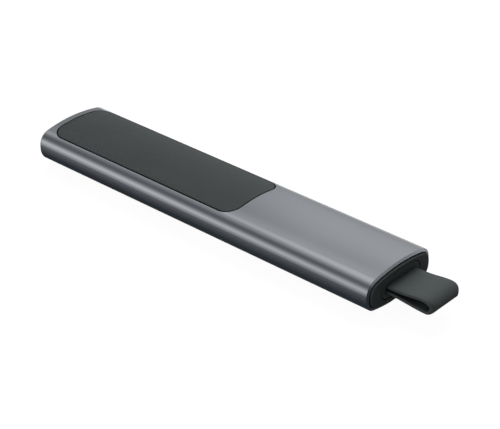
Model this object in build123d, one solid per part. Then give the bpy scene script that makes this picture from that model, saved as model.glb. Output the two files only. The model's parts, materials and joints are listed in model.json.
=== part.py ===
"""Pocket presentation clicker: an extruded aluminium sleeve with a dark radio window on top, three
buttons underneath, and a plug-in USB receiver with a rubber pull loop stored in its tail.

Frame, in millimetres: +X runs from the nose to the pull loop, +Y across and +Z up through the
radio window. The origin is at the middle of the whole object's length and width, on the plane of the
flat land that it rests on. Stations are distances from the sleeve's nose end along +X.
"""
from build123d import *
import math
import os

# ---------------------------------------------------------------- driving dimensions, mm
# Extruded sleeve
sleeve_length = 130.35
sleeve_width = 28.1
sleeve_height = 12.1
sleeve_wall = 1.0
crown_radius = 50.0        # top and underside
corner_radius = 4.4
side_radius = 11.0
land_width = 6.0           # flat strip along the underside
nose_edge_radius = 0.8
tail_bevel_inset = 0.8     # on the end's flat face
tail_bevel_length = 0.35   # along the sleeve

# Radio window, let into the top of the sleeve
window_start = 2.9
window_length = 75.5
window_width = 22.35
window_corner = 4.5
window_gap = 0.3
window_edge_radius = 0.2
window_rim_radius = 0.15   # on the sleeve, round the window
adhesive_margin = 0.95     # from the window's edge to the adhesive ring
adhesive_width = 2.4

# Inner frame, an inverted tray that carries the boards and the battery
frame_gap = 0.25           # to the sleeve, all round
frame_roof = 2.15
frame_end_wall = 1.5
cavity_width = 22.4
boss_diameter = 3.8
boss_inset = 2.3           # from the board's long edge to a boss's axis
tongue_length = 4.0
tongue_height = 3.2
slip_gap = 0.1             # between pieces that slide together when assembled

# Nose cap
nose_cap_recess = 0.2
nose_cap_depth = 2.6
nose_peg_size = 2.0
nose_peg_pitch = 15.0
nose_peg_root = 0.6        # peg inside the cap's plate
nose_cap_edge_radius = 0.3

# Tail cap and receiver bay
cap_gap = 0.2              # from the tail cap to the sleeve
cap_bay_wall = 1.05        # wall above and below the receiver's head
cap_back_wall = 0.8
cap_proud = 0.7            # how far the tail face stands out of the sleeve
cap_edge_radius = 0.2
bay_rise = 0.15            # middle of the receiver above the middle of the sleeve
bay_shoulder = 0.9         # step between the head's pocket and the plug's pocket, per side in height
bay_plug_width = 13.2
bay_corner = 2.2

# Buttons and their press travel
pointer_station = 17.5
pointer_to_next = 19.0
next_to_back = 17.5
small_button_diameter = 13.0
next_button_diameter = 16.0
button_gap = 0.2
button_recess = 0.15       # under the plane of the land
flange_width = 0.8
flange_gap = 0.1
flange_thickness = 1.4     # above the sleeve's wall, at the middle
button_edge_radius = 0.3
dish_radius = 40.0
dish_depth = 0.35
mark_width = 0.6
mark_reach = 1.6           # arrow, from its tip to its tails
mark_ring_radius = 2.2
mark_depth = 0.15
press_travel = 0.35
stop_gap = 0.15
stem_diameter = 2.4
stem_reach = 0.3           # above the carrier

# Button carrier, switches and main board
carrier_thickness = 0.6
board_thickness = 0.8
board_edge_gap = 0.3
board_corner = 2.0
board_start = 5.0
board_tail = 10.5          # board beyond the back button's axis
switch_side = 4.5
switch_height = 1.2
switch_gap = 0.05
plunger_diameter = 1.8
plunger_length = 0.85
plunger_clearance = 0.1
screw_diameter = 1.38
screw_clearance = 0.01
screw_head_diameter = 2.4
screw_head_height = 0.6
screw_length = 4.6
screw_end_gap = 0.3

# Parts on the main board
motor_diameter = 8.0
motor_wall = 0.25
motor_shaft_diameter = 0.8
motor_hub_diameter = 2.0
motor_play = 0.05
component_headroom = 0.2
shield_side = 14.0
shield_wall = 0.2
radio_chip_side = 6.0
chip_height = 0.8
motion_sensor_side = 3.0
charging_chip_side = 4.0
crystal_length = 3.2
crystal_width = 2.5
chip_row_y = 4.5           # from the board's middle line to the small chips
chip_row_gap = 6.0         # from the back button's axis forward to the sensor and the crystal
antenna_length = 7.0
antenna_width = 2.0
led_station = 7.0
led_size = 1.2
led_height = 0.5
light_pipe_diameter = 1.5
light_pipe_collar = 2.6

# Battery, its leads and the ribbon to the charging board
battery_width = 20.0
battery_floor_gap = 1.0    # from the sleeve's inside to the battery
battery_pad = 0.2
battery_end_gap = 3.0
battery_corner = 1.5
ribbon_width = 5.0
ribbon_thickness = 0.12
ribbon_rise = 2.0
ribbon_landing = 3.0
lead_diameter = 0.9
lead_pitch = 2.2
lead_landing = 1.0         # from the board's edge to a lead's solder joint
pad_margin = 2.0           # from the cell's edge to its adhesive pad
ribbon_low_y = 0.6         # the ribbon's edge, beside the middle line

# Charging board and USB-C socket
socket_length = 7.3
socket_width = 8.94
socket_height = 3.16
socket_wall = 0.3
socket_tab_length = 2.5
socket_tab_reach = 0.8     # beyond the shell, each side
socket_tab_thickness = 0.3
socket_back = 1.0          # solid back of the socket
socket_tongue_width = 6.69
socket_tongue_thickness = 0.7
socket_tongue_length = 4.6
charging_board_width = 19.0
charging_boss_inset = 2.1
charging_board_lead_in = 3.0   # board behind the socket

# USB receiver: head, type-A plug and pull loop
head_length = 9.0
head_width = 17.0
head_crown_radius = 42.0
head_corner = 2.6
head_gap = 0.26
head_edge_radius = 0.15
plug_width = 12.0
plug_height = 4.5
plug_length = 12.0
plug_wall = 0.3
plug_corner = 0.6
plug_end_gap = 1.3
plug_root = 1.5            # plug shell inside the head
plug_window = 2.0
plug_window_station = 5.4  # from the plug's open end to the middle of its windows
plug_window_pitch = 5.0
tongue_inset = 0.4
tongue_stop = 1.5          # from the tongue's end to the head
tongue_drop = 0.1          # top of the tongue under the middle height
head_web = 0.4             # between the head's inside and the strap's slot
contact_count = 4
contact_width = 1.0
contact_pitch = 2.4
contact_height = 0.18
receiver_fit = 0.02
receiver_board_thickness = 0.8
receiver_chip_side = 3.0
loop_reach = 16.15         # from the sleeve's tail end to the far end of the loop
loop_width = 13.2
loop_thickness = 0.93
loop_root_height = 2.5     # over both layers, where they leave the head
loop_waist_height = 3.0    # half-way along the free part
loop_end_radius = 2.15
loop_plan_corner = 2.0
loop_slot_gap = 0.12
loop_root = 5.5            # strap inside the head
loop_gap_depth = 0.6       # how far the space between the layers runs into the head
loop_pin_diameter = 1.2
loop_pin_pitch = 7.6
loop_pin_station = 3.5     # inside the tail face
loop_pin_inset = 0.4       # above the lowest line of the head
loop_pin_cover = 1.0       # head left above the pins

# Leaf springs that grip the receiver's head
spring_length = 4.4
spring_thickness = 0.2
spring_height = 2.6
spring_bow = 0.9
spring_touch_gap = 0.05

# ---------------------------------------------------------------- derived places
overall_length = sleeve_length + loop_reach
nose_x = -overall_length / 2
land_sag = crown_radius - math.sqrt(crown_radius ** 2 - (land_width / 2) ** 2)
mid_z = sleeve_height / 2 + bay_rise
window_end = window_start + window_length

frame_inset = sleeve_wall + frame_gap
cap_inset = sleeve_wall + cap_gap
frame_start = nose_cap_recess + nose_cap_depth
ceiling = sleeve_height - frame_inset - frame_roof

flange_top = sleeve_wall + flange_thickness
carrier_bottom = flange_top + press_travel + stop_gap
carrier_top = carrier_bottom + carrier_thickness
stem_top = carrier_top + stem_reach
switch_bottom = stem_top + press_travel + switch_gap
board_bottom = switch_bottom + switch_height
board_top = board_bottom + board_thickness
board_width = cavity_width - 2 * board_edge_gap

next_station = pointer_station + pointer_to_next
back_station = next_station + next_to_back
board_end = back_station + board_tail
buttons = {
    "pointer": (pointer_station, small_button_diameter),
    "next": (next_station, next_button_diameter),
    "back": (back_station, small_button_diameter),
}
sensor_station = back_station - chip_row_gap
boss_y = board_width / 2 - boss_inset
boss_stations = (
    board_start + boss_inset,
    (pointer_station + next_station) / 2,
    board_end - boss_inset,
)

tail_face = sleeve_length + cap_proud
head_height = sleeve_height - 2 * (cap_inset + cap_bay_wall + head_gap)
head_start = tail_face - head_length
plug_start = head_start - plug_length
bay_end = plug_start - plug_end_gap
frame_end = bay_end - cap_back_wall
socket_start = bay_end - socket_length
charging_board_start = socket_start - charging_board_lead_in
battery_start = board_end + battery_end_gap
battery_end = charging_board_start - battery_end_gap
battery_bottom = sleeve_wall + battery_floor_gap
battery_top = ceiling - battery_pad
loop_start = tail_face - loop_root
loop_tip = sleeve_length + loop_reach

plug_inner_width = plug_width - 2 * plug_wall
plug_inner_height = plug_height - 2 * plug_wall
plug_inner_corner = plug_corner - plug_wall
tongue_top = mid_z - tongue_drop
tongue_end = head_start - tongue_stop
head_pocket_end = loop_start - loop_slot_gap - head_web

reach = 5.0                # how far a cutting tool runs past what it cuts


# ---------------------------------------------------------------- shared shapes
def corner_centre():
    """Centre of the arc that joins the crown and the side in the section's first quarter, and the
    centres of those two arcs, as (y, z)."""
    half_width = sleeve_width / 2
    half_height = (sleeve_height + land_sag) / 2
    middle = sleeve_height - half_height
    crown = Vector(0, middle + half_height - crown_radius)
    side = Vector(half_width - side_radius, middle)
    to_crown, to_side = crown_radius - corner_radius, side_radius - corner_radius
    between = side - crown
    span = between.length
    along = (span ** 2 + to_crown ** 2 - to_side ** 2) / (2 * span)
    across = math.sqrt(to_crown ** 2 - along ** 2)
    direction = between.normalized()
    normal = Vector(-direction.Y, direction.X)
    if normal.X < 0:
        normal = -normal
    return crown + direction * along + normal * across, crown, side, middle


def section(inset=0.0):
    """The sleeve's cross-section across X, drawn this far inside its outer surface."""
    corner, crown, side, middle = corner_centre()
    crown_end = crown + (corner - crown).normalized() * (crown_radius - inset)
    side_end = side + (corner - side).normalized() * (side_radius - inset)
    outward = ((crown_end - corner).normalized() + (side_end - corner).normalized()).normalized()
    corner_mid = corner + outward * (corner_radius - inset)
    top, right = crown.Y + crown_radius - inset, side.X + side_radius - inset

    def place(point, flip_y, flip_z):
        return (flip_y * point.X, middle + flip_z * (point.Y - middle))

    arcs = []
    for flip_z in (1, -1):
        crown_mid = (0, middle + flip_z * (top - middle))
        arcs.append(ThreePointArc(place(crown_end, -1, flip_z), crown_mid, place(crown_end, 1, flip_z)))
        for flip_y in (1, -1):
            ends = [place(p, flip_y, flip_z) for p in (crown_end, corner_mid, side_end)]
            arcs.append(ThreePointArc(*ends))
    for flip_y in (1, -1):
        upper, lower = place(side_end, flip_y, 1), place(side_end, flip_y, -1)
        arcs.append(ThreePointArc(upper, (flip_y * right, middle), lower))
    outline = make_face(Curve() + arcs)
    above_land = Pos(0, inset + sleeve_height / 2) * Rectangle(2 * sleeve_width, sleeve_height)
    return outline & above_land


def along_x(sketch, start, end):
    """Runs a sketch drawn on (Y, Z) from one station to another."""
    return extrude(Plane.YZ.offset(nose_x + start) * sketch, amount=end - start)


def block(start, end, low_y, high_y, low_z, high_z):
    """A box between two stations."""
    size = Box(end - start, high_y - low_y, high_z - low_z)
    return Pos(nose_x + (start + end) / 2, (low_y + high_y) / 2, (low_z + high_z) / 2) * size


def post(station, y, low_z, high_z, diameter):
    """An upright cylinder."""
    return Pos(nose_x + station, y, (low_z + high_z) / 2) * Cylinder(diameter / 2, high_z - low_z)


def plate(start, end, width, corner, low_z, high_z):
    """A flat plate with rounded corners, centred on the X axis."""
    outline = RectangleRounded(end - start, width, corner)
    return extrude(Pos(nose_x + (start + end) / 2, 0, low_z) * outline, amount=high_z - low_z)


def rounded_bar(width, height, corner, start, end):
    """A bar along X with rounded corners, centred on the middle height."""
    return along_x(Pos(0, mid_z) * RectangleRounded(width, height, corner), start, end)


def crowned_bar(grow, start, end):
    """A bar along X with the outline of the receiver's head, grown by this much."""
    outline = Rectangle(head_width + 2 * grow, 2 * sleeve_height)
    crown = Circle(head_crown_radius + grow)
    for side in (-1, 1):
        outline &= Pos(0, side * (head_height / 2 - head_crown_radius)) * crown
    outline = fillet(outline.vertices(), head_corner + grow)
    return along_x(Pos(0, mid_z) * outline, start, end)


def round_end(solid, axis, index, radius):
    """Fillets the edges of the face that lies first (0) or last (-1) along an axis."""
    return fillet(solid.faces().sort_by(axis)[index].edges(), radius)


def boss_places():
    """(station, y) of each screw of the main board."""
    return [(station, side * boss_y) for station in boss_stations for side in (-1, 1)]


# ---------------------------------------------------------------- housing
def make_sleeve():
    sleeve = along_x(section(), 0, sleeve_length)
    sleeve = round_end(sleeve, Axis.X, 0, nose_edge_radius)
    end = sleeve.faces().sort_by(Axis.X)[-1]
    sleeve = chamfer(end.edges(), tail_bevel_inset, tail_bevel_length, reference=end)
    sleeve -= along_x(section(sleeve_wall), -reach, sleeve_length + reach)
    sleeve -= plate(
        window_start - window_gap, window_end + window_gap, window_width + 2 * window_gap,
        window_corner + window_gap, mid_z, sleeve_height + reach,
    )
    crown = sleeve.faces().filter_by(lambda face: face.inner_wires()).sort_by(Axis.Z)[-1]
    sleeve = fillet(crown.inner_wires()[0].edges(), window_rim_radius)
    for station, diameter in buttons.values():
        sleeve -= post(station, 0, -reach, mid_z, diameter + 2 * button_gap)
    sleeve -= post(led_station, 0, -reach, mid_z, light_pipe_diameter + 2 * slip_gap)
    return sleeve


def make_radio_window():
    window = along_x(section(), 0, sleeve_length)
    window -= along_x(section(sleeve_wall), -reach, sleeve_length + reach)
    window &= plate(window_start, window_end, window_width, window_corner, mid_z, sleeve_height + reach)
    return round_end(window, Axis.Z, -1, window_edge_radius)


def make_window_adhesive():
    layer = along_x(section(sleeve_wall), 0, sleeve_length)
    layer -= along_x(section(frame_inset), -reach, sleeve_length + reach)
    hole_margin = adhesive_margin + adhesive_width
    ring = plate(
        window_start + adhesive_margin, window_end - adhesive_margin, window_width - 2 * adhesive_margin,
        window_corner - adhesive_margin, mid_z, sleeve_height,
    )
    ring -= plate(
        window_start + hole_margin, window_end - hole_margin, window_width - 2 * hole_margin,
        window_corner - adhesive_margin, mid_z - reach, sleeve_height + reach,
    )
    return layer & ring


def make_inner_frame():
    frame = along_x(section(frame_inset), frame_start, frame_end)
    cavity_start = frame_start + frame_end_wall
    half = cavity_width / 2
    frame -= block(cavity_start, frame_end + reach, -half, half, -reach, ceiling)
    for station, y in boss_places() + charging_board_screw_places():
        frame += post(station, y, board_top, ceiling + frame_roof / 2, boss_diameter)
        frame -= post(station, y, board_top - reach, ceiling, screw_diameter + 2 * screw_clearance)
    rail = along_x(section(frame_inset), frame_end - frame_end_wall, frame_end + tongue_length)
    for side in (-1, 1):
        edges = sorted((side * half, side * sleeve_width / 2))
        frame += rail & block(
            frame_end - frame_end_wall, frame_end + tongue_length, *edges,
            mid_z - tongue_height / 2, mid_z + tongue_height / 2,
        )
        frame -= nose_peg(side, slip_gap)
    return frame


def nose_peg(side, grow):
    """The nose cap's locating peg on one side, or with grow the hole that takes it."""
    half = nose_peg_size / 2 + grow
    y = side * nose_peg_pitch / 2
    start, end = frame_start - nose_peg_root, frame_start + frame_end_wall + grow
    return block(start, end, y - half, y + half, mid_z - half, mid_z + half)


def make_nose_cap():
    cap = along_x(section(cap_inset), nose_cap_recess, frame_start)
    cap = round_end(cap, Axis.X, 0, nose_cap_edge_radius)
    for side in (-1, 1):
        cap += nose_peg(side, 0)
    return cap


def make_tail_cap():
    cap = along_x(section(cap_inset), frame_end, tail_face)
    cap = round_end(cap, Axis.X, -1, cap_edge_radius)
    cap -= crowned_bar(head_gap, head_start - head_gap, tail_face + reach)
    cap -= rounded_bar(bay_plug_width, head_height - 2 * bay_shoulder, bay_corner, bay_end, tail_face)
    cap -= along_x(socket_outline(slip_gap), frame_end - reach, bay_end + reach)
    for side in (-1, 1):
        edges = sorted((side * (cavity_width / 2 - slip_gap), side * sleeve_width))
        half = tongue_height / 2 + slip_gap
        notch_end = frame_end + tongue_length + slip_gap
        cap -= block(frame_end - reach, notch_end, *edges, mid_z - half, mid_z + half)
        cap -= spring_pocket(side)
    return cap


# ---------------------------------------------------------------- leaf springs in the bay
spring_middle = head_start + head_length / 2
spring_inner_y = head_width / 2 + spring_touch_gap


def spring_pocket(side):
    """The pocket in the bay's side wall that holds a leaf spring."""
    half = spring_length / 2 + slip_gap
    back_y = spring_inner_y + spring_bow + spring_thickness + slip_gap
    edges = sorted((side * head_width / 2, side * back_y))
    low_z, high_z = mid_z - spring_height / 2 - slip_gap, mid_z + spring_height / 2 + slip_gap
    return block(spring_middle - half, spring_middle + half, *edges, low_z, high_z)


def make_retention_springs():
    """Two bowed leaf springs, one each side of the receiver's head."""
    springs = Part()
    half = spring_length / 2
    middle = nose_x + spring_middle
    for side in (-1, 1):
        near, far = side * spring_inner_y, side * (spring_inner_y + spring_bow)
        inner = ThreePointArc((middle - half, far), (middle, near), (middle + half, far))
        outer = inner.translate((0, side * spring_thickness))
        ends = [Line(inner @ 0, outer @ 0), Line(inner @ 1, outer @ 1)]
        leaf = make_face(Curve() + [inner, outer] + ends)
        springs += extrude(Pos(0, 0, mid_z - spring_height / 2) * leaf, amount=spring_height)
    return springs


# ---------------------------------------------------------------- buttons and switches
def chevron(station, point):
    """A V-shaped groove in a button's face; it points to the tail for 1 and to the nose for -1."""
    x = nose_x + station
    tip, tail = x + point * mark_reach / 2, x - point * mark_reach / 2
    corners = [(tail, -mark_reach), (tip, 0), (tail, mark_reach)]
    groove = Sketch()
    for start, end in zip(corners, corners[1:]):
        groove += SlotCenterToCenter((Vector(*end) - Vector(*start)).length, mark_width).rotate(
            Axis.Z, math.degrees(math.atan2(end[1] - start[1], end[0] - start[0]))
        ).translate((Vector(*start) + Vector(*end)) / 2)
    return groove


def make_button(name):
    """A dished cap in the sleeve's hole, a flange that keeps it in and a stem to its switch."""
    station, diameter = buttons[name]
    cap = post(station, 0, button_recess, flange_top, diameter)
    cap = round_end(cap, Axis.Z, 0, button_edge_radius)
    inside = along_x(section(sleeve_wall + flange_gap), station - diameter, station + diameter)
    cap += post(station, 0, 0, flange_top, diameter + 2 * flange_width) & inside
    cap += post(station, 0, flange_top - flange_gap, stem_top, stem_diameter)
    dish_top = button_recess + dish_depth
    cap -= Pos(nose_x + station, 0, dish_top - dish_radius) * Sphere(dish_radius)
    return cap - button_mark(name, dish_top)


def button_mark(name, dish_top):
    """The groove in a button's face: a ring on the pointer button and an arrow on the other two."""
    station, _ = buttons[name]
    if name == "pointer":
        ring = Circle(mark_ring_radius + mark_width / 2) - Circle(mark_ring_radius - mark_width / 2)
        mark = Pos(nose_x + station, 0) * ring
    else:
        mark = chevron(station, -1 if name == "next" else 1)
    return extrude(mark, amount=dish_top + mark_depth)


def make_switch(name):
    station, _ = buttons[name]
    half = switch_side / 2
    body = block(station - half, station + half, -half, half, switch_bottom, board_bottom)
    well = plunger_diameter + 2 * plunger_clearance
    roof = stem_top + plunger_length + press_travel + switch_gap
    return body - post(station, 0, switch_bottom - reach, roof, well)


def make_plunger(name):
    station, _ = buttons[name]
    return post(station, 0, stem_top, stem_top + plunger_length, plunger_diameter)


def make_button_carrier():
    """A plate under the board that guides the buttons' stems and stops their flanges."""
    carrier = plate(board_start, board_end, board_width, board_corner, carrier_bottom, carrier_top)
    for station, y in boss_places():
        carrier += post(station, y, carrier_bottom, board_bottom, boss_diameter)
        carrier -= post(station, y, 0, board_bottom + reach, screw_diameter + 2 * screw_clearance)
    for station, _ in buttons.values():
        carrier -= post(station, 0, 0, board_bottom, stem_diameter + 2 * slip_gap)
    return carrier - post(led_station, 0, 0, board_bottom, light_pipe_diameter + 2 * slip_gap)


# ---------------------------------------------------------------- main board and what is on it
def make_circuit_board():
    board = plate(board_start, board_end, board_width, board_corner, board_bottom, board_top)
    for station, y in boss_places():
        board -= post(station, y, 0, sleeve_height, screw_diameter + 2 * screw_clearance)
    return board


def screws(places, head_top):
    """Pan-head screws whose heads hang under head_top and whose shanks run up from it."""
    group = Part()
    for station, y in places:
        tip = min(head_top + screw_length, ceiling - screw_end_gap)
        group += post(station, y, head_top, tip, screw_diameter)
        group += post(station, y, head_top - screw_head_height, head_top, screw_head_diameter)
    return group


def make_motor_case():
    """The can of a coin vibration motor, open where its base closes it."""
    top = ceiling - component_headroom
    can = post(pointer_station, 0, board_top, top, motor_diameter)
    return can - post(pointer_station, 0, 0, top - motor_wall, motor_diameter - 2 * motor_wall)


def make_motor_base():
    base = post(pointer_station, 0, board_top, board_top + motor_wall, motor_diameter - 2 * motor_wall)
    return base - post(pointer_station, 0, 0, sleeve_height, motor_shaft_diameter)


def make_motor_shaft():
    top = ceiling - component_headroom - motor_wall
    return post(pointer_station, 0, board_top, top, motor_shaft_diameter)


def make_motor_rotor():
    """The half-disc weight that makes the motor shake."""
    low = board_top + motor_wall + 2 * motor_play
    high = ceiling - component_headroom - motor_wall - 2 * motor_play
    outer = motor_diameter - 2 * motor_wall - 4 * motor_play
    disc = post(pointer_station, 0, low, high, outer)
    disc -= block(pointer_station - outer, pointer_station, -outer, outer, 0, sleeve_height)
    disc += post(pointer_station, 0, low, high, motor_hub_diameter)
    return disc - post(pointer_station, 0, 0, sleeve_height, motor_shaft_diameter + 2 * motor_play)


def make_radio_shield():
    half, top = shield_side / 2, ceiling - 2 * component_headroom
    can = block(next_station - half, next_station + half, -half, half, board_top, top)
    inner = half - shield_wall
    return can - block(next_station - inner, next_station + inner, -inner, inner, 0, top - shield_wall)


def chip(station, y, length, width):
    """A package on top of the main board."""
    start, low_y = station - length / 2, y - width / 2
    return block(start, start + length, low_y, low_y + width, board_top, board_top + chip_height)


def make_status_led():
    half, low_z = led_size / 2, board_bottom - led_height
    return block(led_station - half, led_station + half, -half, half, low_z, board_bottom)


def make_light_pipe():
    top = board_bottom - led_height
    pipe = post(led_station, 0, button_recess, top, light_pipe_diameter)
    return pipe + post(led_station, 0, carrier_top, (carrier_top + top) / 2, light_pipe_collar)


# ---------------------------------------------------------------- battery and its wiring
def make_battery_cell():
    half = battery_width / 2
    cell = block(battery_start, battery_end, -half, half, battery_bottom, battery_top)
    return fillet(cell.edges().filter_by(Axis.X), battery_corner)


def make_battery_adhesive():
    half = battery_width / 2
    start, end = battery_start + pad_margin, battery_end - pad_margin
    return block(start, end, -half + pad_margin, 0, battery_top, ceiling)


def make_battery_leads():
    """Two short wires from the cell's front edge down to the main board."""
    leads = Part()
    high = board_top + 3 * lead_diameter / 2
    landing_x = nose_x + board_end - lead_landing
    for index in (1, 2):
        y = -lead_pitch * index
        bends = [(nose_x + battery_start, y, high), (landing_x, y, high), (landing_x, y, board_top)]
        path = FilletPolyline(*bends, radius=lead_diameter)
        leads += sweep(Plane(origin=path @ 0, z_dir=path % 0) * Circle(lead_diameter / 2), path=path)
    return leads


def make_charging_ribbon():
    """The flat ribbon that runs from the main board over the battery to the charging board."""
    low, high = board_top, ceiling - ribbon_thickness
    route = [
        (board_end - ribbon_landing, low), (board_end, low), (board_end + ribbon_rise, high),
        (battery_end, high), (charging_board_start, low), (charging_board_start + ribbon_landing, low),
    ]
    under = [(nose_x + station, z) for station, z in route]
    over = [(x, z + ribbon_thickness) for x, z in reversed(under)]
    outline = make_face(Polyline(*under, *over, close=True))
    return extrude(Plane.XZ.offset(-ribbon_low_y) * outline, amount=-ribbon_width)


# ---------------------------------------------------------------- charging board and socket
def charging_board_screw_places():
    """(station, y) of each screw of the charging board."""
    station = (charging_board_start + frame_end) / 2
    y = charging_board_width / 2 - charging_boss_inset
    return [(station, side * y) for side in (-1, 1)]


def make_charging_board():
    start, end = charging_board_start, frame_end - slip_gap
    board = plate(start, end, charging_board_width, board_corner / 2, board_bottom, board_top)
    notch = socket_width / 2 + slip_gap
    board -= block(socket_start - slip_gap, end + reach, -notch, notch, 0, sleeve_height)
    for station, y in charging_board_screw_places():
        board -= post(station, y, 0, sleeve_height, screw_diameter + 2 * screw_clearance)
    return board


def socket_outline(grow):
    """The stadium outline of the USB-C socket's shell, grown by this much."""
    height = socket_height + 2 * grow
    return Pos(0, mid_z) * SlotOverall(socket_width + 2 * grow, height)


def make_charging_socket():
    shell = along_x(socket_outline(0), socket_start, bay_end)
    tabs = block(
        socket_start, socket_start + socket_tab_length, -socket_width / 2 - socket_tab_reach,
        socket_width / 2 + socket_tab_reach, board_top, board_top + socket_tab_thickness,
    )
    opening = along_x(socket_outline(-socket_wall), socket_start + socket_back, bay_end + reach)
    return shell + tabs - opening


def make_charging_tongue():
    half, thick = socket_tongue_width / 2, socket_tongue_thickness / 2
    start = socket_start + socket_back
    return block(start, start + socket_tongue_length, -half, half, mid_z - thick, mid_z + thick)


# ---------------------------------------------------------------- USB receiver
def make_receiver_head():
    head = crowned_bar(0, head_start, tail_face)
    head = round_end(head, Axis.X, -1, head_edge_radius)
    slot_height = loop_root_height + 2 * loop_slot_gap
    slot_width = loop_width + 2 * loop_slot_gap
    slot_start = loop_start - loop_slot_gap
    head -= rounded_bar(slot_width, slot_height, loop_slot_gap, slot_start, tail_face + reach)
    head -= rounded_bar(
        plug_width + 2 * receiver_fit, plug_height + 2 * receiver_fit, plug_corner + receiver_fit,
        head_start - reach, head_start + plug_root + receiver_fit,
    )
    head -= rounded_bar(
        plug_inner_width, plug_inner_height, plug_inner_corner, head_start, head_pocket_end,
    )
    for side in (-1, 1):
        head -= loop_pin(side, 0, receiver_fit)
    return head


def loop_pin(side, low, grow):
    """One of the pins that hold the strap in the head, or with grow the hole that takes it."""
    station = tail_face - loop_pin_station
    high = mid_z + head_height / 2 - loop_pin_cover + grow
    return post(station, side * loop_pin_pitch / 2, low, high, loop_pin_diameter + 2 * grow)


def make_loop_pins():
    low = mid_z - head_height / 2 + loop_pin_inset
    return Part() + [loop_pin(side, low, 0) for side in (-1, 1)]


def make_receiver_plug():
    """The metal shell of a type-A plug, open towards the nose."""
    end = head_start + plug_root
    shell = rounded_bar(plug_width, plug_height, plug_corner, plug_start, end)
    shell -= rounded_bar(
        plug_inner_width, plug_inner_height, plug_inner_corner, plug_start - reach, end + reach,
    )
    middle, half = plug_start + plug_window_station, plug_window / 2
    for side in (-1, 1):
        y = side * plug_window_pitch / 2
        shell -= block(middle - half, middle + half, y - half, y + half, 0, sleeve_height)
    return shell


def make_receiver_tongue():
    bar = rounded_bar(
        plug_inner_width - 2 * receiver_fit, plug_inner_height - 2 * receiver_fit,
        plug_inner_corner - receiver_fit, plug_start + tongue_inset, tongue_end,
    )
    return bar & block(plug_start, tongue_end, -plug_width, plug_width, 0, tongue_top)


def make_receiver_contacts():
    contacts = Part()
    for index in range(contact_count):
        y = (index - (contact_count - 1) / 2) * contact_pitch
        contacts += block(
            plug_start + 2 * tongue_inset, tongue_end - tongue_inset, y - contact_width / 2,
            y + contact_width / 2, tongue_top, tongue_top + contact_height,
        )
    return contacts


def make_receiver_board():
    half = plug_inner_width / 2 - slip_gap
    low = tongue_top - receiver_board_thickness
    return block(tongue_end, head_pocket_end - slip_gap, -half, half, low, tongue_top)


def make_receiver_chip():
    middle = (tongue_end + head_pocket_end) / 2
    half = receiver_chip_side / 2
    return block(middle - half, middle + half, -half, half, tongue_top, tongue_top + chip_height)


def loop_outline(start, inset):
    """Side outline of the pull loop from a station to its far end, drawn this far inside its outer
    surface, on (X, Z) about the middle height."""
    root_x, end_x = nose_x + tail_face, nose_x + loop_tip - loop_end_radius
    root, waist = loop_root_height / 2 - inset, loop_waist_height / 2 - inset
    end = loop_end_radius - inset
    waist_x, start_x = (root_x + end_x) / 2, nose_x + start
    upper = Spline((root_x, root), (waist_x, waist), (end_x, end), tangents=[(1, 0), (1, 0)])
    bend = ThreePointArc((end_x, end), (end_x + end, 0), (end_x, -end))
    lower = Spline((root_x, -root), (waist_x, -waist), (end_x, -end), tangents=[(1, 0), (1, 0)])
    foot = Polyline((root_x, root), (start_x, root), (start_x, -root), (root_x, -root))
    return make_face(Curve() + [upper, bend, lower, foot])


def make_pull_loop():
    """A rubber strap bent into a loop, its two ends moulded together inside the receiver's head."""
    def widen(sketch):
        centred = Plane(origin=(0, loop_width / 2, mid_z), x_dir=(1, 0, 0), z_dir=(0, -1, 0))
        return extrude(centred * sketch, amount=loop_width)

    loop = widen(loop_outline(loop_start, 0))
    loop -= widen(loop_outline(tail_face - loop_gap_depth, loop_thickness))
    start = loop_start - loop_plan_corner
    loop &= plate(start, loop_tip, loop_width, loop_plan_corner, 0, sleeve_height)
    for side in (-1, 1):
        loop -= loop_pin(side, 0, loop_slot_gap / 2)
    return loop


# ---------------------------------------------------------------- every node
def make_nodes():
    nodes = {
        "sleeve": make_sleeve(),
        "radio_window": make_radio_window(),
        "window_adhesive": make_window_adhesive(),
        "inner_frame": make_inner_frame(),
        "nose_cap": make_nose_cap(),
        "tail_cap": make_tail_cap(),
        "retention_springs": make_retention_springs(),
        "button_carrier": make_button_carrier(),
        "circuit_board": make_circuit_board(),
        "board_screws": screws(boss_places(), carrier_bottom),
        "motor_case": make_motor_case(),
        "motor_base": make_motor_base(),
        "motor_shaft": make_motor_shaft(),
        "motor_rotor": make_motor_rotor(),
        "radio_shield": make_radio_shield(),
        "radio_chip": chip(next_station, 0, radio_chip_side, radio_chip_side),
        "antenna": chip(board_start + antenna_width, 0, antenna_width, antenna_length),
        "motion_sensor": chip(sensor_station, -chip_row_y, motion_sensor_side, motion_sensor_side),
        "charging_chip": chip(back_station, -chip_row_y, charging_chip_side, charging_chip_side),
        "clock_crystal": chip(sensor_station, chip_row_y, crystal_length, crystal_width),
        "status_led": make_status_led(),
        "light_pipe": make_light_pipe(),
        "battery_cell": make_battery_cell(),
        "battery_adhesive": make_battery_adhesive(),
        "battery_leads": make_battery_leads(),
        "charging_ribbon": make_charging_ribbon(),
        "charging_board": make_charging_board(),
        "charging_board_screws": screws(charging_board_screw_places(), board_bottom),
        "charging_socket": make_charging_socket(),
        "charging_tongue": make_charging_tongue(),
        "receiver_head": make_receiver_head(),
        "receiver_plug": make_receiver_plug(),
        "receiver_tongue": make_receiver_tongue(),
        "receiver_contacts": make_receiver_contacts(),
        "receiver_board": make_receiver_board(),
        "receiver_chip": make_receiver_chip(),
        "pull_loop": make_pull_loop(),
        "loop_pins": make_loop_pins(),
    }
    for name in buttons:
        nodes[f"{name}_button"] = make_button(name)
        nodes[f"{name}_switch"] = make_switch(name)
        nodes[f"{name}_plunger"] = make_plunger(name)
    return nodes


os.makedirs("parts", exist_ok=True)
for node, shape in make_nodes().items():
    export_step(shape, f"parts/{node}.step")
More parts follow.
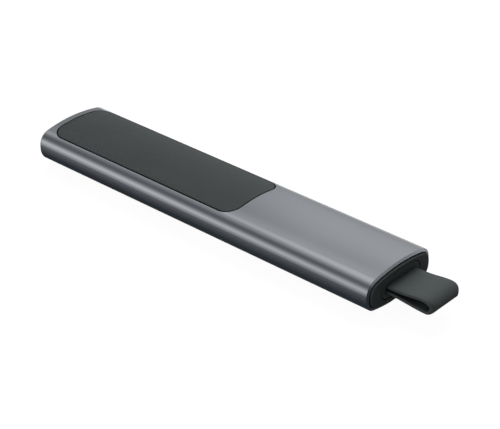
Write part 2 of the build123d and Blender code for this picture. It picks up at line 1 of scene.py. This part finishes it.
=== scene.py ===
import json
import math
import bmesh
import bpy
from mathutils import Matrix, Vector


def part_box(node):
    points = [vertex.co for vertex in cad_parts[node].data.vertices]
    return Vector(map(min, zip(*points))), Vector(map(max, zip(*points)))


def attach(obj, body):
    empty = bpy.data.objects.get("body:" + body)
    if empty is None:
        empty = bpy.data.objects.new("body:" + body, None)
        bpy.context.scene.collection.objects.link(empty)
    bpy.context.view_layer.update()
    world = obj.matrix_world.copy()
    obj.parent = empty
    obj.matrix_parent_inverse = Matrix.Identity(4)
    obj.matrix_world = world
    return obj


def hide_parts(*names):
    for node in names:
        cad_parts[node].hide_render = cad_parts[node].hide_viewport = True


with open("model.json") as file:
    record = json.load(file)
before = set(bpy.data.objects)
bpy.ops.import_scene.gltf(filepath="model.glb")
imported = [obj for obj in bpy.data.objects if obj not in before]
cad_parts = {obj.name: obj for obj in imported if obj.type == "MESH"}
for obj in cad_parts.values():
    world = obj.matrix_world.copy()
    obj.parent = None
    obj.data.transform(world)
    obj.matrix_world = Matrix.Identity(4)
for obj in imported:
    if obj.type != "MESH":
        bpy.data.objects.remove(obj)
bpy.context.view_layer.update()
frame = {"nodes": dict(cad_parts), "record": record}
MM = 0.001

# ------------------------------------------------------------------ camera
CAMERA_TARGET = Vector((3.67, -1.045, 6.05)) * MM
CAMERA_AZIMUTH = math.radians(41.745)
CAMERA_ELEVATION = math.radians(30.600)
CAMERA_DISTANCE = 463.2 * MM
CAMERA_LENS = 114.55            # mm of focal length, for the sensor's width below
CAMERA_SENSOR = 36.0
CAMERA_NEAREST = 10 * MM


def direction(azimuth, elevation):
    """Unit vector towards a place seen from the object: azimuth 0 is -Y and turns towards +X."""
    level = math.cos(elevation)
    return Vector((math.sin(azimuth) * level, -math.cos(azimuth) * level, math.sin(elevation)))


def put_in_scene(name, data):
    made = bpy.data.objects.new(name, data)
    bpy.context.scene.collection.objects.link(made)
    return made


def aim(obj, place, target):
    obj.location = place
    obj.rotation_euler = (target - place).to_track_quat("-Z", "Y").to_euler()


def make_camera():
    data = bpy.data.cameras.new("camera")
    data.lens = CAMERA_LENS
    data.sensor_width = CAMERA_SENSOR
    data.clip_start = CAMERA_NEAREST
    camera = put_in_scene("camera", data)
    place = CAMERA_TARGET + direction(CAMERA_AZIMUTH, CAMERA_ELEVATION) * CAMERA_DISTANCE
    aim(camera, place, CAMERA_TARGET)
    bpy.context.scene.camera = camera


# ------------------------------------------------------------------ material kit
def feed(tree, socket, value):
    """Link the socket to another node's output, or set it to a plain value."""
    if isinstance(value, bpy.types.NodeSocket):
        tree.links.new(value, socket)
    else:
        socket.default_value = value


class Nodes:
    """The node tree of a material or world, with short ways to add the nodes used here."""

    def __init__(self, owner):
        owner.use_nodes = True
        self.tree = owner.node_tree

    def node(self, kind, inputs=None, **settings):
        """A new node, its inputs set by name or number to values or to outputs of other nodes."""
        made = self.tree.nodes.new(kind)
        for key, value in settings.items():
            setattr(made, key, value)
        for key, value in (inputs or {}).items():
            feed(self.tree, made.inputs[key], value)
        return made

    def math(self, operation, a, b=0.0, **settings):
        return self.node("ShaderNodeMath", {0: a, 1: b}, operation=operation, **settings).outputs["Value"]

    def sum(self, a, b):
        return self.math("ADD", a, b)

    def product(self, a, b):
        return self.math("MULTIPLY", a, b)

    def between(self, value, low, high, start=0.3, end=0.7):
        """The value's start..end, spread over low..high."""
        made = self.node("ShaderNodeMapRange", {"Value": value, "From Min": start, "From Max": end,
                                                "To Min": low, "To Max": high})
        return made.outputs["Result"]

    def share(self, value, start, end):
        """0 at the start, 1 at the end."""
        return self.between(value, 0.0, 1.0, start, end)

    def together(self, a, b, share):
        """Two patterns as one that runs over 0..1, with the given share from the first."""
        return self.sum(self.between(a, 0.0, share), self.between(b, 0.0, 1.0 - share))

    def shades(self, value, stops):
        """Colours by value: each stop is (value, colour)."""
        ramp = self.node("ShaderNodeValToRGB", {"Fac": value})
        points = ramp.color_ramp.elements
        for k, (at, color) in enumerate(stops):
            point = points[k] if k < len(points) else points.new(at)
            point.position = at
            point.color = (*color, 1.0)
        return ramp.outputs["Color"]

    def blend(self, share, a, b):
        """Colour a where the share is 0, b where it is 1."""
        mix = self.node("ShaderNodeMix", {0: share, 6: a, 7: b}, data_type="RGBA")
        return mix.outputs[2]


class Finish(Nodes):
    """A material whose colour, roughness and bump come from patterns fixed to the piece itself."""

    def __init__(self, name, **plain):
        self.material = bpy.data.materials.new(name)
        super().__init__(self.material)
        self.shader = self.tree.nodes["Principled BSDF"]
        self.place = self.node("ShaderNodeTexCoord").outputs["Object"]
        for socket, value in plain.items():
            self.shader.inputs[socket.replace("_", " ")].default_value = value

    def grain(self, size, detail=2.0, stretch=(1, 1, 1)):
        """Noise of about the given size in metres, drawn out along the axes by the stretch."""
        scale = [1 / (size * s) for s in stretch]
        spread = self.node("ShaderNodeMapping", {"Vector": self.place, "Scale": scale})
        noise = self.node("ShaderNodeTexNoise",
                          {"Vector": spread.outputs["Vector"], "Scale": 1.0, "Detail": detail})
        return noise.outputs["Fac"]

    def cosine_to(self, way):
        """Cosine of the angle between the surface's normal and that way."""
        normal = self.node("ShaderNodeNewGeometry").outputs["Normal"]
        dot = self.node("ShaderNodeVectorMath", {0: way, 1: normal}, operation="DOT_PRODUCT")
        return dot.outputs["Value"]

    def edges(self, radius, sharpness=0.25):
        """1 along the piece's convex and concave edges, 0 away from them."""
        rounded = self.node("ShaderNodeBevel", {"Radius": radius}, samples=8).outputs["Normal"]
        return self.share(self.cosine_to(rounded), 1.0, 1.0 - sharpness)

    def clear_of_painted_shade(self, reach, fullest, deepest=0.2):
        """0 deep in gaps and folds narrower than the reach, where the colour is darkened as painted shade,
        1 in the open.
        """
        shade = self.node("ShaderNodeAmbientOcclusion", {"Distance": reach}, samples=8)
        return self.share(shade.outputs["AO"], deepest, fullest)

    def color(self, value):
        feed(self.tree, self.shader.inputs["Base Color"], value)

    def roughness(self, value):
        feed(self.tree, self.shader.inputs["Roughness"], value)

    def relief(self, height, depth):
        """Bump with the height's 0..1 standing for a depth in metres."""
        bump = self.node("ShaderNodeBump", {"Height": height, "Distance": depth, "Strength": 1.0})
        feed(self.tree, self.shader.inputs["Normal"], bump.outputs["Normal"])


# Near black, painted as the shade in narrow gaps and grooves.
SHADE_BLACK = (0.002, 0.002, 0.002)
FACE_TURN, SIDE_TURN = 0.97, 0.88   # cosines of the turn from a face at which its side starts and is full


def tint(color, factor):
    return tuple(min(1.0, c * factor) for c in color)


def tint_range(color, low, high, start=0.0, end=1.0):
    """Stops for shades: the colour times low at the start, and times high at the end."""
    return (start, tint(color, low)), (end, tint(color, high))


def opaque(color):
    return (*color, 1.0)


# ------------------------------------------------------------------ materials of the outside
def anodised_aluminium():
    """Bead-blasted and anodised: fine even grain, cloudy dye, and edges paler from bare metal and from a
    painted highlight.
    """
    color = (0.385, 0.401, 0.429)
    finish = Finish("anodised_aluminium", Metallic=1.0)
    cloud = finish.grain(14 * MM, 3.0, (2.5, 1, 1))
    blast = finish.grain(0.11 * MM)
    dye = finish.shades(finish.together(cloud, blast, 0.6), tint_range(color, 0.95, 1.05))
    # Paler edges: partly bare metal showing through wear, partly a painted highlight along the rims.
    edge_tint = finish.product(finish.edges(0.18 * MM), finish.between(finish.grain(0.9 * MM, 4.0), 0.25, 0.65))
    finish.color(finish.blend(edge_tint, dye, opaque(tint(color, 1.50))))
    finish.roughness(finish.sum(finish.between(cloud, 0.205, 0.235), finish.between(blast, -0.015, 0.02)))
    finish.relief(blast, 0.0012 * MM)
    return finish


def moulded_plastic(name, color, roughness, grain, depth, specular, edge_factor=1.5, shade_painted_sides=None, gap=0.0):
    """Dark moulding with a spark-eroded texture, a little shinier and paler at its edges, partly from hands
    rubbing them and partly as a painted highlight.

    With shade painted sides, whatever turns away from that way, into the gap around the piece, is coloured
    black as painted shade.
    With a gap, its colour darkens as painted shade in gaps up to that wide."""
    finish = Finish(name, Specular_IOR_Level=specular)
    cloud = finish.grain(9 * MM, 3.0)
    texture = finish.grain(grain)
    body = finish.shades(finish.together(cloud, texture, 0.5), tint_range(color, 0.88, 1.12))
    # Paler edges: partly from hands rubbing them, partly a painted highlight.
    hand_wear_and_highlight = finish.product(finish.edges(0.15 * MM), finish.between(finish.grain(0.7 * MM, 3.0), 0.2, 0.7))
    body = finish.blend(hand_wear_and_highlight, body, opaque(tint(color, edge_factor)))
    matt = finish.sum(finish.between(cloud, roughness - 0.03, roughness + 0.03),
                      finish.between(hand_wear_and_highlight, 0.0, -0.08, 0.0, 1.0))
    if shade_painted_sides:
        # Painted shade: sides that turn into the groove round the piece are coloured black.
        side = finish.share(finish.cosine_to(shade_painted_sides), FACE_TURN, SIDE_TURN)
        body = finish.blend(side, body, opaque(SHADE_BLACK))
        matt = finish.sum(matt, finish.between(side, 0.0, 0.4, 0.0, 1.0))
    # Painted shade: narrow gaps are coloured black.
    if gap:
        body = finish.blend(finish.clear_of_painted_shade(gap, 0.95), opaque(SHADE_BLACK), body)
    finish.color(body)
    finish.roughness(matt)
    finish.relief(texture, depth)
    return finish


def window_plastic():
    return moulded_plastic("window_plastic", (0.036, 0.043, 0.044), roughness=0.50, grain=0.16 * MM,
                           depth=0.004 * MM, specular=0.30, edge_factor=1.8, shade_painted_sides=(0, 0, 1))


def cap_plastic():
    return moulded_plastic("cap_plastic", (0.042, 0.051, 0.050), roughness=0.45, grain=0.14 * MM,
                           depth=0.003 * MM, specular=0.30, edge_factor=2.0, gap=1.0 * MM)


def frame_plastic():
    return moulded_plastic("frame_plastic", (0.018, 0.018, 0.019), roughness=0.55, grain=0.30 * MM,
                           depth=0.006 * MM, specular=0.35)


def button_plastic():
    return moulded_plastic("button_plastic", (0.035, 0.040, 0.040), roughness=0.42, grain=0.12 * MM,
                           depth=0.003 * MM, specular=0.35, edge_factor=1.7)


def strap_rubber():
    """Matt silicone rubber: a soft bloom of paler dust on a close, slightly uneven skin."""
    color = (0.0635, 0.0735, 0.075)
    finish = Finish("strap_rubber", Specular_IOR_Level=0.25, Sheen_Weight=0.06, Sheen_Roughness=0.4)
    cloud = finish.grain(5 * MM, 4.0, (1.6, 1, 1))
    skin = finish.grain(0.18 * MM, 3.0)
    body = finish.shades(finish.together(cloud, skin, 0.6), tint_range(color, 0.90, 1.12))
    # Painted shade: the colour turns black deep in the fold's eye and in narrow gaps.
    finish.color(finish.blend(finish.clear_of_painted_shade(2.5 * MM, 0.85), opaque(SHADE_BLACK), body))
    finish.roughness(finish.between(cloud, 0.56, 0.66))
    finish.relief(skin, 0.006 * MM)
    return finish


# ------------------------------------------------------------------ materials of the inside
def drawn_metal(name, color, smooth, rough, lines=0.04 * MM, edge_factor=1.2):
    """Rolled or drawn sheet: fine lines along X, with the roughness following them."""
    finish = Finish(name, Metallic=1.0)
    line = finish.grain(lines, 2.0, (60, 1, 1))
    cloud = finish.grain(4 * MM, 3.0)
    body = finish.shades(finish.together(line, cloud, 0.6), tint_range(color, 0.86, 1.08))
    edge_tint = finish.product(finish.edges(0.12 * MM), finish.between(cloud, 0.3, 0.8))
    finish.color(finish.blend(edge_tint, body, opaque(tint(color, edge_factor))))
    finish.roughness(finish.between(line, smooth, rough))
    finish.relief(line, 0.0015 * MM)
    return finish


def spring_steel():
    return drawn_metal("spring_steel", (0.60, 0.60, 0.60), smooth=0.22, rough=0.34)


def plug_steel():
    return drawn_metal("plug_steel", (0.62, 0.615, 0.60), smooth=0.20, rough=0.32)


def screw_steel():
    return drawn_metal("screw_steel", (0.10, 0.10, 0.105), smooth=0.35, rough=0.50, lines=0.08 * MM,
                       edge_factor=2.5)


def weight_metal():
    return drawn_metal("weight_metal", (0.32, 0.32, 0.33), smooth=0.40, rough=0.55, lines=0.10 * MM)


def contact_gold():
    return drawn_metal("contact_gold", (0.85, 0.62, 0.25), smooth=0.16, rough=0.32, lines=0.05 * MM,
                       edge_factor=0.8)


def battery_foil():
    """Matt pouch foil with soft creases."""
    finish = Finish("battery_foil", Metallic=1.0)
    crease = finish.grain(2.2 * MM, 4.0, (3, 1, 1))
    finish.color(finish.shades(crease, tint_range((0.60, 0.61, 0.62), 0.85, 1.05, 0.3, 0.7)))
    finish.roughness(finish.between(crease, 0.32, 0.48))
    finish.relief(crease, 0.05 * MM)
    return finish


def circuit_board_laminate():
    """Solder mask over copper: paler green tracks in a regular layout on a darker ground."""
    finish = Finish("circuit_board_laminate", Specular_IOR_Level=0.5)
    pitch = finish.node("ShaderNodeMapping", {"Vector": finish.place, "Scale": (1 / (1.6 * MM),) * 3})
    bricks = finish.node("ShaderNodeTexBrick", {"Vector": pitch.outputs["Vector"], "Scale": 1.0,
                                                "Mortar Size": 0.08, "Mortar Smooth": 0.1})
    tracks = bricks.outputs["Fac"]
    weave = finish.grain(0.25 * MM)
    copper = finish.shades(tracks, ((0.0, (0.008, 0.060, 0.028)), (1.0, (0.022, 0.130, 0.062))))
    finish.color(finish.blend(finish.between(weave, 0.0, 0.25), copper, opaque((0.012, 0.080, 0.040))))
    finish.roughness(finish.between(weave, 0.24, 0.36))
    finish.relief(tracks, 0.02 * MM)
    return finish


def speckled(name, color, roughness, size, depth, specular=0.4, **plain):
    """A plain body with a fine speckle of the given size in colour, roughness and height."""
    finish = Finish(name, Specular_IOR_Level=specular, **plain)
    speck = finish.grain(size, 3.0)
    finish.color(finish.shades(speck, tint_range(color, 0.82, 1.12, 0.3, 0.7)))
    finish.roughness(finish.between(speck, roughness - 0.05, roughness + 0.06))
    finish.relief(speck, depth)
    return finish


def chip_epoxy():
    return speckled("chip_epoxy", (0.020, 0.020, 0.021), roughness=0.50, size=0.10 * MM, depth=0.004 * MM)


def ceramic():
    return speckled("ceramic", (0.75, 0.74, 0.70), roughness=0.45, size=0.15 * MM, depth=0.003 * MM)


def adhesive_tape():
    return speckled("adhesive_tape", (0.020, 0.020, 0.020), roughness=0.70, size=0.30 * MM,
                    depth=0.010 * MM, specular=0.2)


def lead_insulation():
    return speckled("lead_insulation", (0.45, 0.030, 0.028), roughness=0.42, size=0.40 * MM,
                    depth=0.006 * MM)


def ribbon_film():
    return speckled("ribbon_film", (0.45, 0.22, 0.045), roughness=0.28, size=0.60 * MM, depth=0.006 * MM,
                    specular=0.5)


def tongue_plastic():
    return speckled("tongue_plastic", (0.020, 0.020, 0.022), roughness=0.36, size=0.20 * MM,
                    depth=0.004 * MM)


def led_package():
    return speckled("led_package", (0.82, 0.80, 0.66), roughness=0.25, size=0.25 * MM, depth=0.003 * MM,
                    specular=0.5)


def clear_plastic():
    return speckled("clear_plastic", (0.80, 0.82, 0.82), roughness=0.14, size=0.80 * MM, depth=0.003 * MM,
                    specular=0.5, Transmission_Weight=0.9, IOR=1.49)


FINISHES = (anodised_aluminium, window_plastic, cap_plastic, frame_plastic, button_plastic, strap_rubber,
            adhesive_tape, spring_steel, plug_steel, screw_steel, circuit_board_laminate, chip_epoxy,
            ceramic, contact_gold, battery_foil, lead_insulation, ribbon_film, weight_metal,
            clear_plastic, tongue_plastic, led_package)


def dress_nodes(finishes):
    """Each piece of the frame takes the finish that the record names for it."""
    for part in frame["record"]["subparts"]:
        slots = frame["nodes"][part["node"]].data.materials
        slots.clear()
        slots.append(finishes[part["material_slot"]])


# ------------------------------------------------------------------ the folded strap
STRAP_THICKNESS = 0.93 * MM
STRAP_EDGE = 0.38 * MM          # round on the strap's long edges
FOLD_EDGE = 0.70 * MM           # and on their outside at the fold
STRAP_CORNER = 2.0 * MM         # round of the fold's corners, seen from above
FOLD_REACH = 2.5 * MM           # how far before the fold's end its edges begin to grow rounder
UPPER_FOLD = 3.5 * MM           # the fold is a quarter ellipse above the middle, this long
LOWER_FOLD = 2.35 * MM          # and a fuller one below it
FOLD_THICKNESS = 1.35 * MM      # the strap is thicker at the fold's end than in its legs
ROOT_HALF = 1.25 * MM           # half the strap's height where it leaves the receiver's head
UPPER_WAIST = 1.50 * MM         # and half way to the fold, above the middle
LOWER_WAIST = 1.70 * MM         # and below it, where the strap hangs through a little
WAIST_SLOPE = 0.75              # slope at the waist of a flare that rises by 1 over a length of 2
EYE_START = 0.6 * MM            # how far inside the head's face the eye begins
ROOT_STEPS = 4
FLARE_STEPS = 20
FOLD_STEPS = 12
EDGE_STEPS = 4
WIDTH_STEPS = 8
SAME_POINT = 0.0002 * MM        # points closer than this are one


def smooth_step(t, start, end, start_slope, end_slope):
    """Cubic from start to end for t in 0..1, with the given slopes at its ends."""
    return (start * (2 * t ** 3 - 3 * t ** 2 + 1) + start_slope * (t ** 3 - 2 * t ** 2 + t)
            + end * (3 * t ** 2 - 2 * t ** 3) + end_slope * (t ** 3 - t ** 2))


def flare(share, waist, half):
    """Half height along the flare, share 0..1: level at both ends and through the waist half way."""
    slope = WAIST_SLOPE * (half - ROOT_HALF)
    if share < 0.5:
        return smooth_step(share * 2, ROOT_HALF, waist, 0.0, slope)
    return smooth_step(share * 2 - 1, waist, half, slope, 0.0)


def strap_leg(waist, fold_length):
    """One leg with its quarter of the fold: matching outer and inner points, as (x, z) about mid height."""
    low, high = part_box("pull_loop")
    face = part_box("receiver_head")[1].x
    half = (high.z - low.z) / 2
    fold = high.x - fold_length
    outer = [(low.x + (face - low.x) * k / ROOT_STEPS, ROOT_HALF) for k in range(ROOT_STEPS)]
    outer += [(face + (fold - face) * k / FLARE_STEPS, flare(k / FLARE_STEPS, waist, half))
              for k in range(FLARE_STEPS)]
    inner = []
    for k, (x, z) in enumerate(outer):
        before = outer[max(k - 1, 0)]
        after = outer[k + 1] if k + 1 < len(outer) else (fold, half)
        lean = math.atan2(after[1] - before[1], after[0] - before[0])
        inner.append((max(x + STRAP_THICKNESS * math.sin(lean), face - EYE_START),
                      z - STRAP_THICKNESS * math.cos(lean)))
    for k in range(FOLD_STEPS + 1):
        turn = math.pi / 2 * (1 - k / FOLD_STEPS)
        outer.append((fold + fold_length * math.cos(turn), half * math.sin(turn)))
        inner.append((fold + (fold_length - FOLD_THICKNESS) * math.cos(turn),
                      (half - STRAP_THICKNESS) * math.sin(turn)))
    return outer, inner


def strap_outlines():
    """Matching points of the strap's outer and inner outline from the side, as (x, z) about mid height."""
    def joined(above, below):
        return above + [(x, -z) for x, z in reversed(below[:-1])]

    return map(joined, strap_leg(UPPER_WAIST, UPPER_FOLD), strap_leg(LOWER_WAIST, LOWER_FOLD))


def strap_half_width(x, tip, half):
    """Half the strap's width at x: the fold's corners, at the tip, are round."""
    past = x - (tip - STRAP_CORNER)
    if past <= 0:
        return half
    return half - STRAP_CORNER + math.sqrt(max(STRAP_CORNER ** 2 - past ** 2, 0.0))


def steps_between(a, b, count):
    """The points that divide the line from a to b into that many steps, without its ends."""
    return [tuple(p + (q - p) * k / count for p, q in zip(a, b)) for k in range(1, count)]


def strap_section(outer, inner):
    """One ring round the strap's thickness: flat outside, round edge, flat inside, round edge."""
    low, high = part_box("pull_loop")
    (outer_x, outer_z), (inner_x, inner_z) = outer, inner
    length = math.hypot(inner_x - outer_x, inner_z - outer_z)
    folded = min(max((outer_x - (high.x - FOLD_REACH)) / FOLD_REACH, 0.0), 1.0)
    outer_round = STRAP_EDGE + (FOLD_EDGE - STRAP_EDGE) * folded
    inner_round = min(STRAP_EDGE, length - outer_round)

    def place(side, inset, depth):
        share = depth / length
        x, z = outer_x + (inner_x - outer_x) * share, outer_z + (inner_z - outer_z) * share
        return x, side * (strap_half_width(x, high.x, high.y) - inset), (low.z + high.z) / 2 + z

    quarter = [math.pi / 2 * k / EDGE_STEPS for k in range(EDGE_STEPS + 1)]
    edge = [(outer_round * (1 - math.sin(t)), outer_round * (1 - math.cos(t))) for t in quarter]
    edge += [(inner_round * (1 - math.sin(t)), length - inner_round * (1 - math.cos(t)))
             for t in reversed(quarter)]
    far_edge = [place(1, inset, depth) for inset, depth in edge]
    near_edge = [place(-1, inset, depth) for inset, depth in reversed(edge)]
    return (far_edge + steps_between(far_edge[-1], near_edge[0], WIDTH_STEPS)
            + near_edge + steps_between(near_edge[-1], far_edge[0], WIDTH_STEPS))


def make_strap(material):
    """The strap as one closed skin, made of rings that follow it from the head, round the fold and back."""
    mesh = bmesh.new()
    rings = [[mesh.verts.new(p) for p in strap_section(*pair)] for pair in zip(*strap_outlines())]
    for ring, following in zip(rings, rings[1:] + rings[:1]):
        for k in range(len(ring)):
            mesh.faces.new((ring[k - 1], ring[k], following[k], following[k - 1]))
    # Before the eye starts, all rings share their inner points.
    bmesh.ops.remove_doubles(mesh, verts=mesh.verts, dist=SAME_POINT)
    bmesh.ops.recalc_face_normals(mesh, faces=mesh.faces)
    data = bpy.data.meshes.new("strap")
    mesh.to_mesh(data)
    mesh.free()
    data.shade_smooth()
    data.materials.append(material)
    strap = put_in_scene("strap", data)
    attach(strap, "receiver")
    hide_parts("pull_loop")


# ------------------------------------------------------------------ what the metal reflects
MIDDLE = Vector((0.0, 0.0, 6.0)) * MM   # of the clicker
WALL_DISTANCE = 450 * MM
WALL_HALF_LENGTH = 900 * MM
WALL_STEPS = 36
COOLNESS = 0.009                # how much bluer the shaded parts of the walls are
# What the bent wall shows in the metal: (degrees about the clicker's length, from +Y over the top to -Y,
# brightness), where the metal's nose end and its tail end reflect it, and on the side that faces +X.
NOSE_LEVELS = ((0, 1.0), (8, 0.38), (30, 0.40), (57, 0.36), (66, 0.58), (88, 0.76), (96, 0.67), (108, 0.36),
               (119, 0.25), (132, 0.19), (142, 0.25), (151, 0.41), (160, 0.73), (167, 1.00), (175, 1.15),
               (180, 1.16))
TAIL_LEVELS = ((0, 1.0), (8, 0.36), (13, 0.44), (18, 0.70), (34, 0.78), (46, 0.745), (52, 0.65), (59, 0.52),
               (64, 0.90), (69, 1.0), (88, 1.03), (96, 0.98), (108, 0.68), (119, 0.36), (131, 0.18),
               (142, 0.18), (151, 0.30), (160, 0.57), (167, 0.80), (175, 0.95), (180, 0.88))
BACK_LEVELS = ((0, 0.12), (6, 0.38), (12, 0.42), (22, 0.76), (45, 0.72), (60, 0.85), (75, 1.0), (84, 0.42),
               (96, 0.42), (105, 1.0), (120, 0.85), (135, 0.72), (160, 0.80), (180, 0.95))
NOSE_SEEN, TAIL_SEEN = -374 * MM, -262 * MM     # where along the wall the first two are full
BACK_START, BACK_END = -150 * MM, 50 * MM       # and from where to where the third takes over
# The walls that close its two ends: (share of the height, brightness).
END_LEVELS = ((0, 0.35), (1, 0.525))
# The card on the floor, whose darkening towards the clicker is a painted shadow: (distance from the
# clicker's middle line in mm, brightness).
CARD_REACH = 450 * MM
CARD_HEIGHT = -0.05 * MM
NOSE_CARD_LEVELS = ((0, 0.06), (15, 0.05), (20, 0.11), (25, 0.24), (33, 0.42), (41, 0.56), (56, 0.74),
                    (94, 0.92), (200, 1.04), (450, 1.10))
TAIL_CARD_LEVELS = ((0, 0.07), (15, 0.05), (20, 0.09), (25, 0.18), (33, 0.31), (41, 0.44), (56, 0.60),
                    (94, 0.78), (200, 0.92), (450, 0.98))
FAR_CARD_LEVELS = ((0, 0.06), (450, 0.15))
NOSE_CARD, TAIL_CARD = -50 * MM, 57 * MM        # where along the middle line the first two are full
CARD_DRIFT = 0.7                                # and how much farther back that is with each step aside
FAR_CARD_START, FAR_CARD_END = 150 * MM, 300 * MM   # from where to where the third takes over


class Glow(Nodes):
    """A surface with light of its own, whose brightness changes from place to place."""

    def __init__(self, name):
        self.material = bpy.data.materials.new(name)
        super().__init__(self.material)
        self.tree.nodes.clear()
        place = self.node("ShaderNodeTexCoord").outputs["Object"]
        self.x, self.y, self.z = self.node("ShaderNodeSeparateXYZ", {"Vector": place}).outputs

    def levels(self, share, levels):
        """Brightness by share, from the levels' first place to their last."""
        last = levels[-1][0]
        return self.shades(share, [(at / last, cool(level)) for at, level in levels])

    def shine(self, color):
        light = self.node("ShaderNodeEmission", {"Color": color})
        self.node("ShaderNodeOutputMaterial", {"Surface": light.outputs[0]})


def cool(level):
    """The grey of a brightness, a little bluer the darker it is."""
    shade = COOLNESS * (1 - min(level, 1.0))
    return max(level - shade, 0.0), level, level + shade


def make_stage(name, points, faces, material):
    data = bpy.data.meshes.new(name)
    data.from_pydata(points, [], faces)
    data.materials.append(material)
    stage = put_in_scene(name, data)
    return stage


def make_rectangle(name, half_length, half_width, height, material):
    corners = [(x * half_length, y * half_width, height) for x, y in ((-1, -1), (1, -1), (1, 1), (-1, 1))]
    return make_stage(name, corners, [(0, 1, 2, 3)], material)


def only_in_reflections(stage):
    stage.visible_camera = False
    stage.visible_diffuse = False
    stage.visible_transmission = False
    stage.visible_volume_scatter = False
    stage.visible_shadow = False


def wall_glow():
    glow = Glow("wall")
    angle = glow.math("ARCTAN2", glow.math("SUBTRACT", glow.z, MIDDLE.z), glow.y)
    turn = glow.share(angle, 0.0, math.pi)
    front = glow.blend(glow.share(glow.x, NOSE_SEEN, TAIL_SEEN),
                       glow.levels(turn, NOSE_LEVELS), glow.levels(turn, TAIL_LEVELS))
    glow.shine(glow.blend(glow.share(glow.x, BACK_START, BACK_END), front, glow.levels(turn, BACK_LEVELS)))
    return glow.material


def wall_end_glow(name):
    glow = Glow(name)
    glow.shine(glow.levels(glow.share(glow.z, 0.0, WALL_DISTANCE), END_LEVELS))
    return glow.material


def make_wall():
    """A wall bent over the clicker's length, like the diffusers and flags round a metal object."""
    arch = []
    for k in range(WALL_STEPS + 1):
        angle = math.pi * k / WALL_STEPS
        arch.append((WALL_DISTANCE * math.cos(angle), MIDDLE.z + WALL_DISTANCE * math.sin(angle)))
    points = [(side * WALL_HALF_LENGTH, y, z) for y, z in arch for side in (-1, 1)]
    faces = [(2 * k, 2 * k + 1, 2 * k + 3, 2 * k + 2) for k in range(WALL_STEPS)]
    only_in_reflections(make_stage("wall", points, faces, wall_glow()))
    for name, side in (("wall_nose", -1), ("wall_tail", 1)):
        end = [(side * WALL_HALF_LENGTH, y, z) for y, z in arch]
        only_in_reflections(make_stage(name, end, [tuple(range(len(end)))], wall_end_glow(name)))


def make_floor_card():
    """A card on the floor, seen only in reflections, whose painted shadow darkens it towards the clicker,
    so that the metal's lower sides fade.
    """
    glow = Glow("floor_card")
    distance = glow.math("ABSOLUTE", glow.y)
    aside = glow.share(distance, 0.0, CARD_REACH)
    along = glow.sum(glow.x, glow.product(distance, CARD_DRIFT))
    near = glow.blend(glow.share(along, NOSE_CARD, TAIL_CARD),
                      glow.levels(aside, NOSE_CARD_LEVELS), glow.levels(aside, TAIL_CARD_LEVELS))
    glow.shine(glow.blend(glow.share(glow.x, FAR_CARD_START, FAR_CARD_END),
                          near, glow.levels(aside, FAR_CARD_LEVELS)))
    card = make_rectangle("floor_card", WALL_HALF_LENGTH, CARD_REACH, CARD_HEIGHT, glow.material)
    only_in_reflections(card)


# ------------------------------------------------------------------ floor, world and lamps
FLOOR_HALF_SIZE = 4.0
FLOOR_HEIGHT = -0.1 * MM
FLOOR_LIGHT = 0.955             # the floor's own light, which no shadow darkens
FLOOR_COLOR = 0.10              # its colour under the lamps, which shadows darken
FLOOR_UNSEEN = 0.25             # its colour for rays that don't see it directly
DIFFUSE_LEVEL = 0.25            # of the surroundings for matt surfaces; the lamps add the rest
# Both lamps reach matt surfaces only: (name, power in watts, side length and place in metres).
LAMPS = (("overhead", 28.0, 1.5, Vector((-0.80, 1.00, 1.05))),
         ("near_side", 2.3, 0.7, Vector((-0.10, -0.75, 0.06))))


def seen_directly(nodes):
    """1 for camera, glossy and transmission rays, which all see the white background."""
    path = nodes.node("ShaderNodeLightPath").outputs
    total = path["Is Camera Ray"]
    for name in ("Is Glossy Ray", "Is Transmission Ray"):
        total = nodes.math("ADD", total, path[name], use_clamp=True)
    return total


def seen_from_below(nodes):
    """1 for a camera under the floor, which looks through it at the clicker's buttons."""
    return nodes.product(nodes.node("ShaderNodeLightPath").outputs["Is Camera Ray"],
                         nodes.node("ShaderNodeNewGeometry").outputs["Backfacing"])


def make_floor():
    """White floor that keeps a soft shadow; its own light reaches only the rays that see it directly."""
    material = bpy.data.materials.new("floor")
    nodes = Nodes(material)
    nodes.tree.nodes.clear()

    def grey(kind, level):
        return nodes.node(kind, {"Color": (level, level, level, 1.0)}).outputs[0]

    def mixed(share, a, b):
        return nodes.node("ShaderNodeMixShader", {"Fac": share, 1: a, 2: b}).outputs[0]

    white = nodes.node("ShaderNodeAddShader", {0: grey("ShaderNodeEmission", FLOOR_LIGHT),
                                               1: grey("ShaderNodeBsdfDiffuse", FLOOR_COLOR)})
    solid = mixed(seen_directly(nodes), grey("ShaderNodeBsdfDiffuse", FLOOR_UNSEEN), white.outputs[0])
    surface = mixed(seen_from_below(nodes), solid, grey("ShaderNodeBsdfTransparent", 1.0))
    nodes.node("ShaderNodeOutputMaterial", {"Surface": surface})
    floor = make_rectangle("floor", FLOOR_HALF_SIZE, FLOOR_HALF_SIZE, FLOOR_HEIGHT, material)
    floor.visible_diffuse = False


def make_world():
    world = bpy.data.worlds.new("world")
    bpy.context.scene.world = world
    nodes = Nodes(world)
    background = nodes.tree.nodes["Background"]
    background.inputs["Color"].default_value = (1.0, 1.0, 1.0, 1.0)
    level = nodes.between(seen_directly(nodes), DIFFUSE_LEVEL, 1.0, 0.0, 1.0)
    feed(nodes.tree, background.inputs["Strength"], level)


def make_lamps():
    for name, power, side, place in LAMPS:
        data = bpy.data.lights.new(name, "AREA")
        data.shape = "SQUARE"
        data.size = side
        data.energy = power
        lamp = put_in_scene(name, data)
        aim(lamp, place, MIDDLE)
        lamp.visible_glossy = False


# ------------------------------------------------------------------ making
make_camera()
materials = {make.__name__: make().material for make in FINISHES}
dress_nodes(materials)
make_strap(materials["strap_rubber"])
make_floor()
make_floor_card()
make_wall()
make_world()
make_lamps()
bpy.context.scene.view_settings.view_transform = "Standard"
